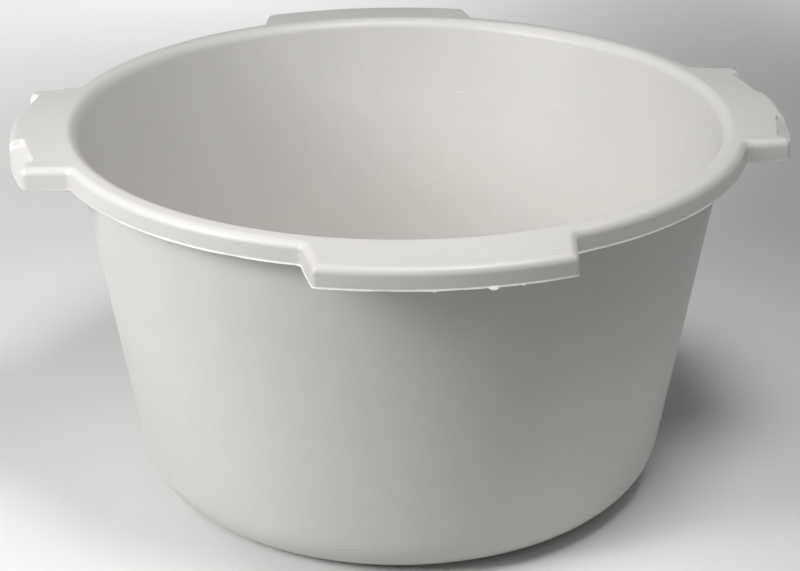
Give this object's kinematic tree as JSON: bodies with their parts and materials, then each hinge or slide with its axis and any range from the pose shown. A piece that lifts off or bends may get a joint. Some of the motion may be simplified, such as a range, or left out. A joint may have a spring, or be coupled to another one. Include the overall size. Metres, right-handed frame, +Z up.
{
  "type": "commode pan",
  "caption": "Round moulded commode pan (bedpan): tapered open bowl with a rounded base corner, rolled rim, and flat hollow lugs around the rim to lift or hang it by.",
  "frame": {"origin": "centre of the pan at the level of its foot ring, so that it stands on z = 0", "axes": "+Z up along the bowl's axis; +X towards the right-hand notched lug; -Y towards the plain front lug"},
  "size_m": [0.3132, 0.3132, 0.155],
  "materials": {
    "polypropylene": "satin, light warm grey, as moulded"
  },
  "bodies": {
    "root": {"bowl_base": "polypropylene", "bowl_side": "polypropylene", "rim": "polypropylene", "lug_front": "polypropylene", "lug_rear": "polypropylene", "lug_left": "polypropylene", "lug_right": "polypropylene"}
  },
  "joints": []
}
